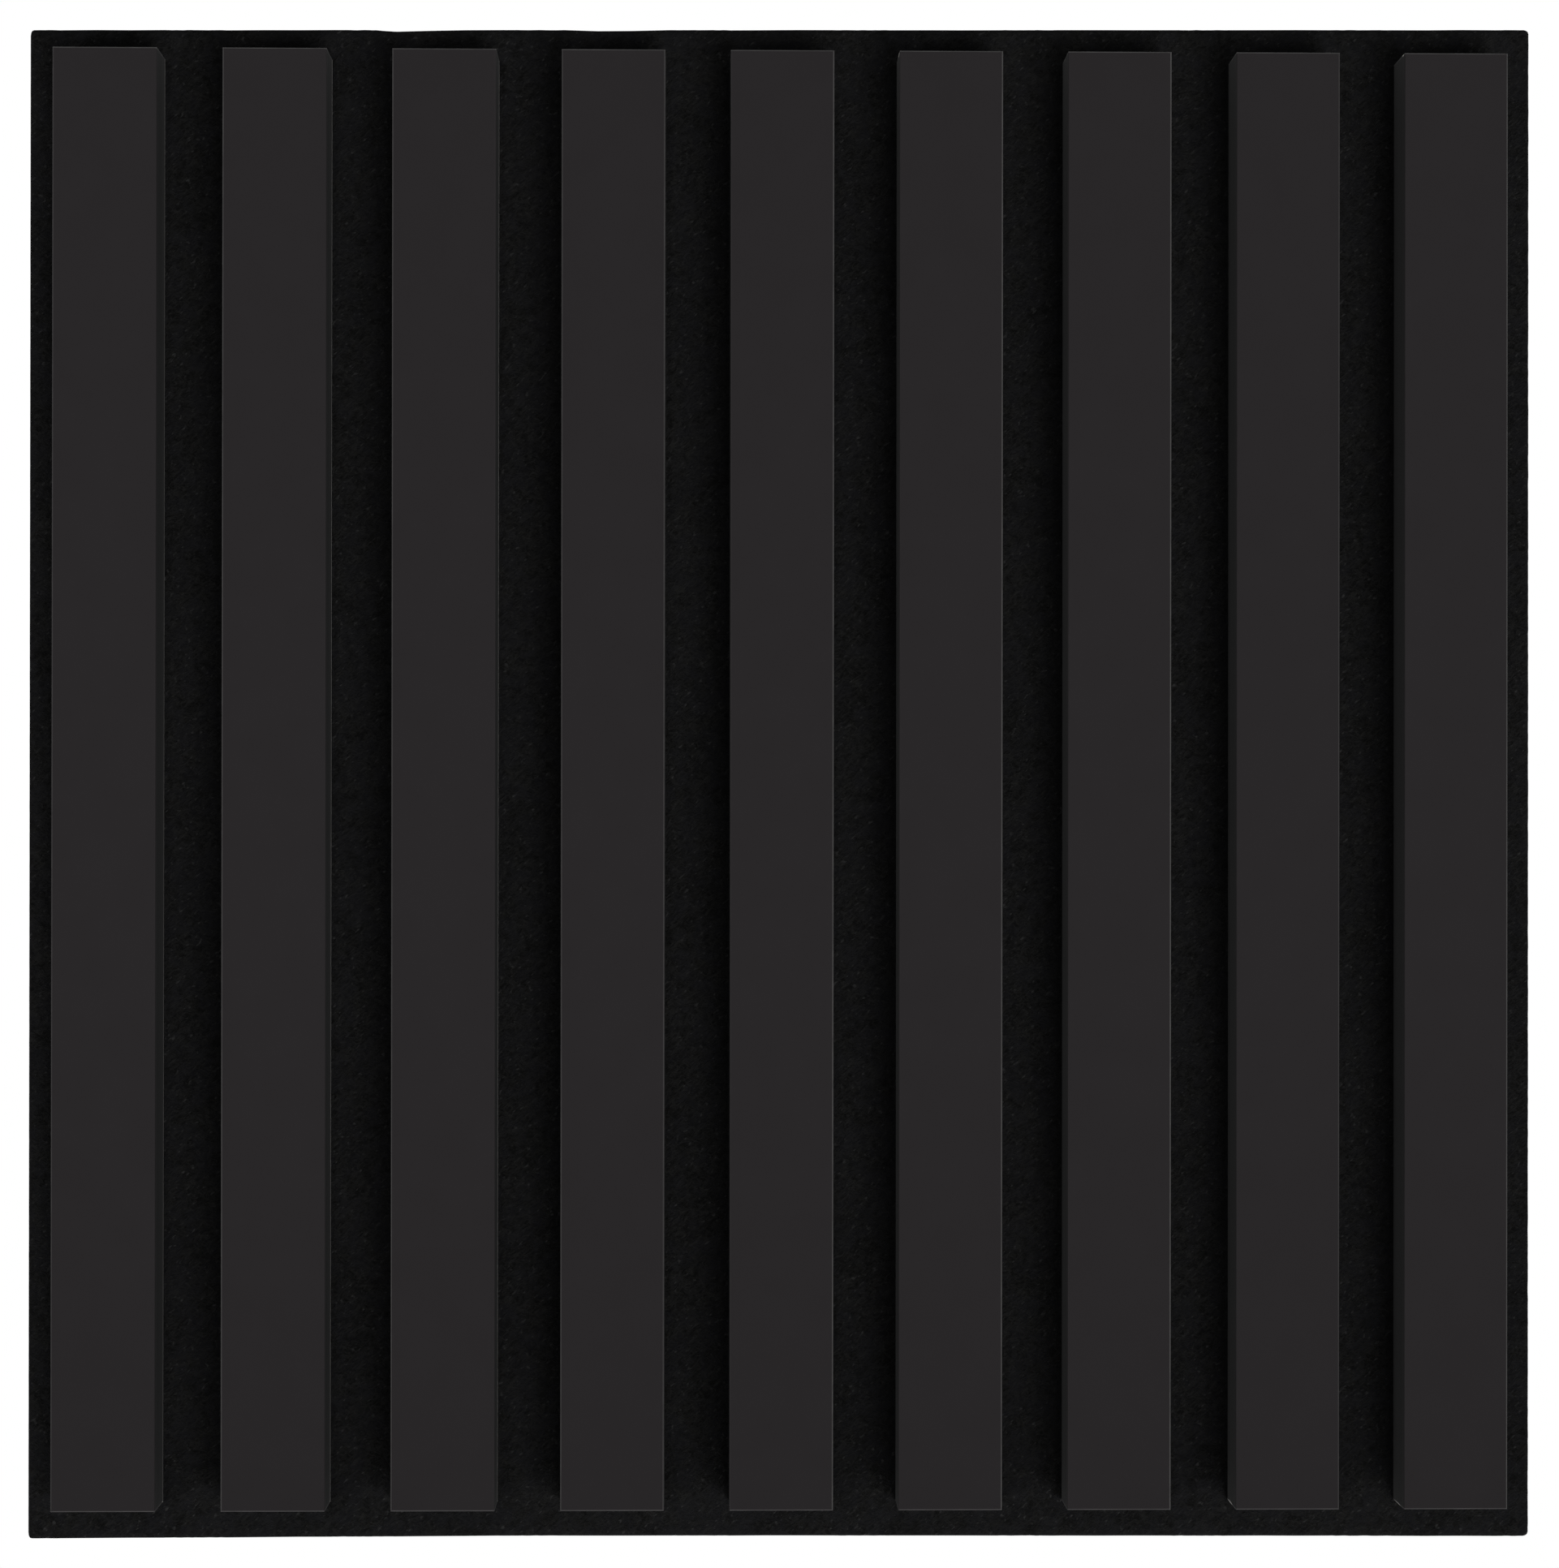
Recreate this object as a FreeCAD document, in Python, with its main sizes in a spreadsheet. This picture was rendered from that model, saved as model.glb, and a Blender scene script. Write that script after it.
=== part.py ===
import FreeCAD
import Part
import Sketcher
import os

# Acoustic slat wall panel: nine laminated fibreboard slats stapled to one sheet of pressed felt.
# +Z is up, the slats face -Y, and the back of the felt lies on the plane y = 0.
# The origin is the centre of the felt's back face. Lengths are millimetres.

SIZES = {
    # The slats and how they stand
    "slat_count": 9,
    "slat_width": 24.5,
    "slat_gap": 15.5,
    "slat_length": 345.5,
    "core_depth": 11.2,
    "facing_depth": 0.8,
    "facing_arris": 0.3,
    "end_margin": 8.6,
    # The felt: its ends slant towards its shorter left side, the bottom edge was trimmed in two strokes
    # and the top edge has two shallow dips
    "felt_depth": 9.0,
    "top_slant": 1.75,
    "bottom_slant": 0.6,
    "felt_corner_radius": 0.9,
    "trim_stroke_length": 120.0,
    "trim_stroke_drop": 0.6,
    "left_dip_place": 90.0,
    "left_dip_length": 15.0,
    "left_dip_depth": 0.4,
    "right_dip_place": 138.0,
    "right_dip_length": 20.0,
    "right_dip_depth": 0.25,
    # The staples
    "staple_rows": 4,
    "staple_end_distance": 30.0,
    "staple_crown": 12.0,
    "wire_depth": 0.65,
    "wire_width": 0.95,
    "wire_bend_radius": 0.5,
    "staple_point": 1.2,
    "staple_sink": 0.4,
    "staple_bite": 5.5,
    "staple_clearance": 0.05,
}

FORMULAS = {
    "slat_pitch": "=slat_width + slat_gap",
    "felt_width": "=slat_count * slat_pitch",
    "felt_height": "=slat_length + 2 * end_margin",
    "facing_back": "=felt_depth + core_depth",
    "first_slat": "=(1 - slat_count) / 2 * slat_pitch",
    "staple_row_span": "=slat_length - 2 * staple_end_distance",
    "staple_tip": "=felt_depth + staple_bite",
    "crown_slot_depth": "=staple_sink + wire_depth",
    "leg_place": "=(staple_crown - wire_depth) / 2",
}

doc = FreeCAD.newDocument("SlatPanel")
sheet = doc.addObject("Spreadsheet::Sheet", "Sizes")


def fill_sheet():
    for row, (name, content) in enumerate({**SIZES, **FORMULAS}.items(), start=1):
        sheet.set("A%d" % row, name)
        sheet.set("B%d" % row, str(content))
        sheet.setAlias("B%d" % row, name)
    doc.recompute()


def size(name):
    return float(getattr(sheet, name))


# Helpers for bodies, sketches and features

def new_body(label):
    body = doc.addObject("PartDesign::Body", label)
    body.Label = label
    return body


def datum(body, role):
    """A plane or axis of the body's own origin."""
    return next(part for part in body.Origin.OriginFeatures if part.Role == role)


def new_sketch(body, name, plane, across="0", up="0", forward="0"):
    """A sketch on one of the body's planes, its own origin shifted by three formulas."""
    sketch = body.newObject("Sketcher::SketchObject", name)
    sketch.AttachmentSupport = [(datum(body, plane), "")]
    sketch.MapMode = "FlatFace"
    for axis, formula in (("x", across), ("y", up), ("z", forward)):
        if formula != "0":
            sketch.setExpression("AttachmentOffset.Base." + axis, formula)
    return sketch


def add_outline(sketch, corners):
    """A closed outline whose corners are pairs of formulas, each bound to the sketch's axes."""
    points = []
    for across, up in corners:
        points.append(FreeCAD.Vector(sketch.evalExpression(across), sketch.evalExpression(up), 0))
    lines = []
    for start, end in zip(points, points[1:] + points[:1]):
        lines.append(sketch.addGeometry(Part.LineSegment(start, end)))
    for line, following in zip(lines, lines[1:] + lines[:1]):
        sketch.addConstraint(Sketcher.Constraint("Coincident", line, 2, following, 1))
    for line, place, formulas in zip(lines, points, corners):
        for kind, value, formula in zip(("DistanceX", "DistanceY"), place, formulas):
            number = sketch.addConstraint(Sketcher.Constraint(kind, -1, 1, line, 1, value))
            sketch.setExpression("Constraints[%d]" % number, formula)


def add_rectangle(sketch, width, height, across="0"):
    """A rectangle centred on the sketch's own X axis, at a distance across it."""
    left = "%s - (%s) / 2" % (across, width)
    right = "%s + (%s) / 2" % (across, width)
    bottom = "-(%s) / 2" % height
    top = "(%s) / 2" % height
    add_outline(sketch, [(left, bottom), (right, bottom), (right, top), (left, top)])


def add_pad(body, name, sketch, length, sides="One side"):
    pad = body.newObject("PartDesign::Pad", name)
    pad.Profile = sketch
    pad.SideType = sides
    pad.setExpression("Length", length)
    doc.recompute()
    return pad


def add_pocket(body, name, sketch, depth, sides="One side"):
    """A pocket that goes the way its sketch faces, into the solid in front of it, or both ways."""
    solid_before = body.Shape.Volume
    pocket = body.newObject("PartDesign::Pocket", name)
    pocket.Profile = sketch
    pocket.SideType = sides
    pocket.Reversed = True
    pocket.setExpression("Length", depth)
    doc.recompute()
    if body.Shape.Volume >= solid_before:
        raise ValueError(name + " removed nothing")
    return pocket


def add_rows(body, features=(), across=False):
    """Repeat features, or the whole solid, at every row of staples up a slat and across all slats."""
    pattern = body.newObject("PartDesign::LinearPattern", body.Label + "_rows")
    if features:
        pattern.Originals = features
    else:
        pattern.TransformMode = "Whole shape"
    pattern.Direction = (datum(body, "Z_Axis"), [""])
    pattern.setExpression("Length", "Sizes.staple_row_span")
    pattern.setExpression("Occurrences", "Sizes.staple_rows")
    if across:
        pattern.Direction2 = (datum(body, "X_Axis"), [""])
        pattern.setExpression("Length2", "Sizes.felt_width - Sizes.slat_pitch")
        pattern.setExpression("Occurrences2", "Sizes.slat_count")
    body.Tip = pattern
    doc.recompute()


def straight_edges(feature, places, axes):
    """Names of the edges that cross the plane of two axes at the given places."""
    names = []
    for number, edge in enumerate(feature.Shape.Edges, start=1):
        middle = edge.CenterOfMass
        flat = all(abs(getattr(edge.tangentAt(edge.FirstParameter), axis)) < 1e-6 for axis in axes)
        for place in places:
            gaps = [abs(getattr(middle, axis) - want) for axis, want in zip(axes, place)]
            if flat and max(gaps) < 1e-6:
                names.append("Edge%d" % number)
    return names


def add_fillet(body, name, feature, places, axes, radius):
    fillet = body.newObject("PartDesign::Fillet", name)
    fillet.Base = (feature, straight_edges(feature, places, axes))
    fillet.setExpression("Radius", radius)
    doc.recompute()
    return fillet


# The felt backing

def make_felt():
    body = new_body("felt_backing")
    half_width = "Sizes.felt_width / 2"
    half_height = "Sizes.felt_height / 2"
    outline = new_sketch(body, "felt_outline", "XZ_Plane")
    stroke_end = "Sizes.trim_stroke_length - " + half_width
    slant_left = "Sizes.bottom_slant * (1 - Sizes.trim_stroke_length / Sizes.felt_width)"
    add_outline(outline, [
        ("-" + half_width, "-%s + Sizes.bottom_slant - Sizes.trim_stroke_drop" % half_height),
        (stroke_end, "-%s + %s" % (half_height, slant_left)),
        (half_width, "-" + half_height),
        (half_width, half_height),
        ("-" + half_width, "%s - Sizes.top_slant" % half_height),
    ])
    sheet_pad = add_pad(body, "felt_sheet", outline, "Sizes.felt_depth")
    side = size("felt_width") / 2
    edge = size("felt_height") / 2
    bottom_left = -edge + size("bottom_slant") - size("trim_stroke_drop")
    top_left = edge - size("top_slant")
    corners = [(-side, bottom_left), (side, -edge), (side, edge), (-side, top_left)]
    add_fillet(body, "felt_corners", sheet_pad, corners, ("x", "z"), "Sizes.felt_corner_radius")
    for name in ("left_dip", "right_dip"):
        cut_dip(body, name)
    add_rows(body, [cut_staple_slot(body)], across=True)
    return body


def cut_staple_slot(body):
    """The slot that one staple pulls into the felt: the crown bears on its floor, eased at both ends."""
    clear = "Sizes.staple_clearance"
    outside = "(Sizes.staple_crown / 2 + %s)" % clear
    inside = "(Sizes.staple_crown / 2 - Sizes.wire_depth - %s)" % clear
    floor = "-Sizes.crown_slot_depth"
    front = "-Sizes.felt_depth - %s" % clear
    eased = "Sizes.wire_bend_radius"
    slot = new_sketch(body, "staple_slot", "XY_Plane", "Sizes.first_slat", "0",
                      "-Sizes.staple_row_span / 2")
    add_outline(slot, [
        ("-" + outside, front),
        ("-" + outside, clear),
        (outside, clear),
        (outside, front),
        (inside, front),
        (inside, "%s - %s" % (floor, eased)),
        ("%s - %s" % (inside, eased), floor),
        ("%s - %s" % (eased, inside), floor),
        ("-" + inside, "%s - %s" % (floor, eased)),
        ("-" + inside, front),
    ])
    return add_pocket(body, "staple_slot_cut", slot, "Sizes.wire_width + 2 * " + clear, "Symmetric")


def cut_dip(body, name):
    """A shallow dip in the top edge, cut by a circle that sinks into it by the dip's depth."""
    place = "Sizes.%s_place - Sizes.felt_width / 2" % name
    depth = "Sizes.%s_depth" % name
    radius = "Sizes.%s_length ^ 2 / (8 * %s) + %s / 2" % (name, depth, depth)
    edge = "Sizes.felt_height / 2 - Sizes.top_slant * (1 - Sizes.%s_place / Sizes.felt_width)" % name
    centre = "%s - %s + %s" % (edge, depth, radius)
    sketch = new_sketch(body, name, "XZ_Plane", place, centre)
    circle = Part.Circle(FreeCAD.Vector(), FreeCAD.Vector(0, 0, 1), sketch.evalExpression(radius))
    sketch.addGeometry(circle)
    sketch.addConstraint(Sketcher.Constraint("Coincident", 0, 3, -1, 1))
    number = sketch.addConstraint(Sketcher.Constraint("Radius", 0, circle.Radius))
    sketch.setExpression("Constraints[%d]" % number, radius)
    add_pocket(body, name + "_cut", sketch, "Sizes.felt_depth")


def add_leg_rectangles(sketch):
    for side in ("-", ""):
        add_rectangle(sketch, "Sizes.wire_depth + 2 * Sizes.staple_clearance",
                      "Sizes.wire_width + 2 * Sizes.staple_clearance", side + "Sizes.leg_place")


# The slats

def place_on_slat(body, number):
    body.setExpression("Placement.Base.x", "Sizes.first_slat + %d * Sizes.slat_pitch" % (number - 1))


def make_core(number):
    """The fibreboard strip, with blind slots in its back for the staples' legs."""
    body = new_body("slat_core_%d" % number)
    outline = new_sketch(body, "core_outline", "XZ_Plane", forward="Sizes.felt_depth")
    add_rectangle(outline, "Sizes.slat_width", "Sizes.slat_length")
    add_pad(body, "core_strip", outline, "Sizes.core_depth")
    leg_slots = new_sketch(body, "leg_slots", "XZ_Plane", "0", "-Sizes.staple_row_span / 2",
                           "Sizes.felt_depth")
    add_leg_rectangles(leg_slots)
    slots = add_pocket(body, "leg_slot_cut", leg_slots, "Sizes.staple_bite + Sizes.staple_clearance")
    add_rows(body, [slots])
    place_on_slat(body, number)
    return body


def make_facing(number):
    """The laminate on the slat's face, its four front edges eased to a narrow bevel."""
    body = new_body("slat_facing_%d" % number)
    outline = new_sketch(body, "facing_outline", "XZ_Plane", forward="Sizes.facing_back")
    add_rectangle(outline, "Sizes.slat_width", "Sizes.slat_length")
    pad = add_pad(body, "facing_sheet", outline, "Sizes.facing_depth")
    front = min(range(6), key=lambda face: pad.Shape.Faces[face].CenterOfMass.y)
    arris = body.newObject("PartDesign::Chamfer", "facing_arris")
    arris.Base = (pad, ["Face%d" % (front + 1)])
    arris.setExpression("Size", "Sizes.facing_arris")
    doc.recompute()
    place_on_slat(body, number)
    return body


# The staples, flat wire bent square and cut to chisel points

def make_staples():
    body = new_body("staples")
    half_crown = "Sizes.staple_crown / 2"
    half_inside = "(Sizes.staple_crown / 2 - Sizes.wire_depth)"
    back = "-Sizes.staple_sink"
    inside = "-Sizes.crown_slot_depth"
    tip = "-Sizes.staple_tip"
    shoulder = "Sizes.staple_point - Sizes.staple_tip"
    outline = new_sketch(body, "staple_outline", "XY_Plane", "Sizes.first_slat", "0",
                         "-Sizes.staple_row_span / 2")
    add_outline(outline, [
        ("-" + half_crown, shoulder),
        ("-" + half_crown, back),
        (half_crown, back),
        (half_crown, shoulder),
        (half_inside, tip),
        (half_inside, inside),
        ("-" + half_inside, inside),
        ("-" + half_inside, tip),
    ])
    wire = add_pad(body, "staple_wire", outline, "Sizes.wire_width", "Symmetric")
    middle = size("first_slat")
    reach = size("staple_crown") / 2
    inner_reach = reach - size("wire_depth")
    outer_depth = -size("staple_sink")
    inner_depth = -size("crown_slot_depth")
    outer = [(middle - reach, outer_depth), (middle + reach, outer_depth)]
    inner = [(middle - inner_reach, inner_depth), (middle + inner_reach, inner_depth)]
    outer_bend = add_fillet(body, "outer_bend", wire, outer, ("x", "y"),
                            "Sizes.wire_bend_radius + Sizes.wire_depth")
    add_fillet(body, "inner_bend", outer_bend, inner, ("x", "y"), "Sizes.wire_bend_radius")
    add_rows(body, across=True)
    return body


# Building, checking and writing every piece

def check_objects(bodies):
    for thing in doc.Objects:
        if "Invalid" in thing.State or "Error" in thing.State:
            raise ValueError(thing.Label + " failed")
    for body in bodies:
        if body.Shape.isNull() or not body.Shape.isValid():
            raise ValueError(body.Label + " has no sound shape")


fill_sheet()
bodies = [make_felt()]
for slat in range(1, int(size("slat_count")) + 1):
    bodies.append(make_core(slat))
    bodies.append(make_facing(slat))
bodies.append(make_staples())
doc.recompute()
check_objects(bodies)
os.makedirs("parts", exist_ok=True)
for body in bodies:
    body.Shape.exportStep("parts/%s.step" % body.Label)
    box = body.Shape.BoundBox
    print(body.Label, len(body.Shape.Solids), round(body.Shape.Volume, 2), box)
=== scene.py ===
import math

import bpy
from mathutils import Matrix, Vector, noise
from mathutils.geometry import delaunay_2d_cdt


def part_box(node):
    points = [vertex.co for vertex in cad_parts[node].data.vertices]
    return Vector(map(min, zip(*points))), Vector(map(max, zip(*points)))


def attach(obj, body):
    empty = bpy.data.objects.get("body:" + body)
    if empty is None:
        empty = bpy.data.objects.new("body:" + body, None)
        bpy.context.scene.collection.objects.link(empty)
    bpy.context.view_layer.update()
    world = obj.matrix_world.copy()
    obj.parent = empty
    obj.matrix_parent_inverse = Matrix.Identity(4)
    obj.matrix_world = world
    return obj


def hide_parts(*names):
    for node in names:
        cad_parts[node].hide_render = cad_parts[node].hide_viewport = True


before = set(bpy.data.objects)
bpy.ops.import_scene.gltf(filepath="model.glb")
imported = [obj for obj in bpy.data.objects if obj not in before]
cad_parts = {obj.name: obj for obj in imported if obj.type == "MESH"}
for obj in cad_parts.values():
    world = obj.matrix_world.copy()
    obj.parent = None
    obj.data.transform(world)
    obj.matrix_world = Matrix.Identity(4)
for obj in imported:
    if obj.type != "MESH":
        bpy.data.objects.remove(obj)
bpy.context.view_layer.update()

# Acoustic slat wall panel: matt black laminated slats on pressed black felt.
# Lengths are metres, in the frame of the construction: +Z up, slats facing -Y, back of the felt on y = 0.

MM = 0.001

# Slats, read from the frame

SLAT_COUNT = sum(name.startswith("slat_core_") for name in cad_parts)
SLATS = range(1, SLAT_COUNT + 1)
CORE_BOXES = [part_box("slat_core_%d" % slat) for slat in SLATS]
FACING_LOW, FACING_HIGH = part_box("slat_facing_1")
SLAT_WIDTH = FACING_HIGH.x - FACING_LOW.x
SLAT_LENGTH = FACING_HIGH.z - FACING_LOW.z
SLAT_TOP = FACING_HIGH.z
FACING_BACK = -FACING_HIGH.y
FACING_DEPTH = FACING_HIGH.y - FACING_LOW.y
ARRIS = 0.3 * MM

# Felt, with the trimming marks of its top and bottom edges

FELT_LOW, FELT_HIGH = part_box("felt_backing")
FELT_LEFT = FELT_LOW.x
FELT_RIGHT = FELT_HIGH.x
FELT_WIDTH = FELT_RIGHT - FELT_LEFT
FELT_PAST_SLATS = 8.6 * MM
FELT_TOP = SLAT_TOP + FELT_PAST_SLATS
FELT_BOTTOM = -FELT_TOP
FELT_FRONT = -FELT_LOW.y
TOP_SLANT = 1.75 * MM       # how much lower the top edge is at its left end than at its right
BOTTOM_SLANT = 0.6 * MM
TRIM_STROKE_LENGTH = 120 * MM
TRIM_STROKE_DROP = 0.6 * MM
CORNER_RADIUS = 0.9 * MM
DIPS = (
    {"place": 90 * MM, "length": 15 * MM, "depth": 0.4 * MM},
    {"place": 138 * MM, "length": 20 * MM, "depth": 0.25 * MM},
)

# Staples

STAPLE_ROWS = 4
STAPLE_LOW, STAPLE_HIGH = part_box("staples")
WIRE_WIDTH = 0.95 * MM
STAPLE_CROWN = 12 * MM
STAPLE_SLOT_DEPTH = 1.05 * MM
STAPLE_CLEARANCE = 0.05 * MM

# The camera, fitted to the edges of the slats and the felt in the photograph

PHOTO_WIDTH_PX = 1921
PHOTO_HEIGHT_PX = 1932
FOCAL_LENGTH_PX = 3894.6
AXIS_ACROSS_PX = 921.8      # the pixel that the lens axis meets
AXIS_DOWN_PX = 1028.1
EYE = Vector((-19.2, -768.2, -14.7)) * MM
LOOK_RIGHT = math.radians(0.859)
LOOK_UP = math.radians(0.139)
ROLL = math.radians(0.059)
SENSOR = 36.0


# Helpers for node trees and meshes

def add_node(tree, kind, inputs=None, **settings):
    """A node with its settings, each input either linked to a socket or set to a value."""
    made = tree.nodes.new(kind)
    for name, value in settings.items():
        setattr(made, name, value)
    for socket, value in (inputs or {}).items():
        if isinstance(value, bpy.types.NodeSocket):
            tree.links.new(value, made.inputs[socket])
        else:
            made.inputs[socket].default_value = value
    return made


def calculate(tree, operation, *values):
    """The output of one Math node."""
    made = add_node(tree, "ShaderNodeMath", dict(enumerate(values)), operation=operation)
    return made.outputs[0]


def link_piece(name, mesh, material, slot, *nodes):
    """Show a finished mesh as a piece that rides on the root body and stands for some CAD nodes."""
    piece = bpy.data.objects.new(name, mesh)
    bpy.context.scene.collection.objects.link(piece)
    if not mesh.materials:
        mesh.materials.append(material)
    if nodes:
        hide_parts(*nodes)
    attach(piece, "root")
    return piece


def run_tree(tree, base_mesh, values, name):
    """The plain mesh that a geometry tree makes from a base mesh with the given inputs."""
    host = bpy.data.objects.new(name, base_mesh)
    bpy.context.scene.collection.objects.link(host)
    modifier = host.modifiers.new(name, "NODES")
    modifier.node_group = tree
    sockets = {item.name: item.identifier for item in tree.interface.items_tree if item.in_out == "INPUT"}
    for label, value in values.items():
        modifier[sockets[label]] = value
    bpy.context.view_layer.update()
    depsgraph = bpy.context.evaluated_depsgraph_get()
    mesh = bpy.data.meshes.new_from_object(host.evaluated_get(depsgraph), depsgraph=depsgraph)
    bpy.data.objects.remove(host)
    mesh.name = name
    painted = [material for material in mesh.materials if material]
    mesh.materials.clear()
    for material in painted:
        mesh.materials.append(material)
    mesh.polygons.foreach_set("material_index", [0] * len(mesh.polygons))
    return mesh


def new_geometry_tree(name, sizes):
    """A geometry tree with named number inputs. Returns the tree, its input node and its output node."""
    tree = bpy.data.node_groups.new(name, "GeometryNodeTree")
    tree.interface.new_socket("Geometry", in_out="INPUT", socket_type="NodeSocketGeometry")
    for label, value in sizes.items():
        kind = "NodeSocketInt" if isinstance(value, int) else "NodeSocketFloat"
        socket = tree.interface.new_socket(label, in_out="INPUT", socket_type=kind)
        socket.default_value = value
    tree.interface.new_socket("Geometry", in_out="OUTPUT", socket_type="NodeSocketGeometry")
    return tree, tree.nodes.new("NodeGroupInput"), tree.nodes.new("NodeGroupOutput")


def finish_tree(tree, geometry, material, output):
    realized = add_node(tree, "GeometryNodeRealizeInstances", {0: geometry})
    painted = add_node(tree, "GeometryNodeSetMaterial", {0: realized.outputs[0], "Material": material})
    tree.links.new(painted.outputs[0], output.inputs[0])


# Materials

def new_material(name, roughness, specular):
    """An empty principled material. Returns it, its tree, its shader and its object coordinates."""
    material = bpy.data.materials.new(name)
    material.use_nodes = True
    tree = material.node_tree
    shader = tree.nodes["Principled BSDF"]
    shader.inputs["Roughness"].default_value = roughness
    shader.inputs["Specular IOR Level"].default_value = specular
    place = tree.nodes.new("ShaderNodeTexCoord").outputs["Object"]
    return material, tree, shader, place


def add_noise(tree, place, scale, detail=2.0, roughness=0.5, stretch=None, turn=(0, 0, 0), curl=0.0):
    """A noise value, its pattern stretched along turned axes and curled where asked."""
    if stretch:
        moved = add_node(tree, "ShaderNodeMapping", {"Vector": place, "Rotation": turn, "Scale": stretch},
                         vector_type="TEXTURE")
        place = moved.outputs[0]
    made = add_node(tree, "ShaderNodeTexNoise", {"Vector": place, "Scale": scale, "Detail": detail,
                                                 "Roughness": roughness, "Distortion": curl})
    return made.outputs[0]


def spread(tree, value, low, high, to_low=0.0, to_high=1.0):
    """Map a value from one range to another and hold it inside."""
    made = add_node(tree, "ShaderNodeMapRange", {"Value": value, "From Min": low, "From Max": high,
                                                 "To Min": to_low, "To Max": to_high})
    return made.outputs[0]


def mix_colours(tree, factor, first, second):
    made = add_node(tree, "ShaderNodeMix", {0: factor, 6: first, 7: second}, data_type="RGBA")
    return made.outputs[2]


def add_bump(tree, shader, height, distance):
    bump = add_node(tree, "ShaderNodeBump", {"Height": height, "Strength": 1.0, "Distance": distance})
    tree.links.new(bump.outputs[0], shader.inputs["Normal"])


FACE_BLACK = (0.0275, 0.0251, 0.0263, 1)
FACE_BLACK_DEEP = (0.0267, 0.0243, 0.0254, 1)
ARRIS_GREY = (0.100, 0.098, 0.097, 1)
CORE_BLACK = (0.0223, 0.0223, 0.0223, 1)
CORE_BLACK_DEEP = (0.0185, 0.0185, 0.0185, 1)
# painted light for the foot of the walls
CORE_PAINTED_FILL = (0.0360, 0.0360, 0.0360, 1)
# worn, and painted highlight, along the ends of the walls
CORE_WORN_AND_HIGHLIT = (0.075, 0.075, 0.074, 1)
# painted highlight
CORE_HIGHLIGHT = (0.42, 0.41, 0.39, 1)
FELT_BLACK = (0.0184, 0.0183, 0.0179, 1)
FELT_DEEP = (0.0068, 0.0068, 0.0067, 1)
FELT_BLUE = (0.0135, 0.0136, 0.0154, 1)
FELT_FLECK = (0.032, 0.032, 0.032, 1)
STEEL = (0.56, 0.56, 0.54, 1)
STEEL_DULL = (0.34, 0.34, 0.33, 1)


def make_laminate():
    """Dead matt laminate, a little lighter where its cut edge was eased, partly its own paler edge and partly
    painted highlight.
    """
    material, tree, shader, place = new_material("black_laminate", roughness=0.75, specular=0.03)
    cloudy = spread(tree, add_noise(tree, place, 90.0), 0.35, 0.65)
    face = mix_colours(tree, cloudy, FACE_BLACK_DEEP, FACE_BLACK)
    # The eased arris is paler: partly worn, partly painted highlight.
    arris = add_node(tree, "ShaderNodeAttribute", attribute_name="arris").outputs["Fac"]
    worn_and_highlit = spread(tree, add_noise(tree, place, 260.0, detail=3.0), 0.3, 0.7, 0.65, 1.0)
    colour = mix_colours(tree, calculate(tree, "MULTIPLY", arris, worn_and_highlit), face, ARRIS_GREY)
    tree.links.new(colour, shader.inputs["Base Color"])
    grain = add_noise(tree, place, 2600.0, detail=3.0, roughness=0.6)
    add_bump(tree, shader, grain, 0.012 * MM)
    return material


PAINTED_FILL_HEIGHT = 8.0 * MM      # painted light pales the walls up to here above the felt, against the shade at their foot
PAINTED_FILL_FULL_HEIGHT = 0.5 * MM
FOOT_LINE = 0.8 * MM        # height of the painted highlight along the foot of some right walls
FOOT_LINES = {1: 0.25, 2: 0.5, 3: 0.9}      # its paleness, by slat
WALL_REACH = 0.2 * MM       # a mark for one wall stays this close to it
END_WEAR_AND_HIGHLIGHT = 0.35 * MM
# Painted highlights along the ends of the walls, by slat, side, end, height above the felt, length and
# thickness.
PAINTED_HIGHLIGHT_SPOTS = (
    (1, 1, -1, 0.6 * MM, 1.6 * MM, 0.35 * MM),
    (2, 1, -1, 0.5 * MM, 1.4 * MM, 0.25 * MM),
    (3, 1, -1, 0.6 * MM, 1.6 * MM, 0.35 * MM),
    (6, -1, 1, 8.5 * MM, 4.5 * MM, 0.70 * MM),
    (8, -1, -1, 3.5 * MM, 7.5 * MM, 0.42 * MM),
    (9, -1, -1, 4.5 * MM, 8.0 * MM, 0.22 * MM),
    (9, -1, 1, 10.0 * MM, 2.2 * MM, 0.40 * MM),
)


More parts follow.
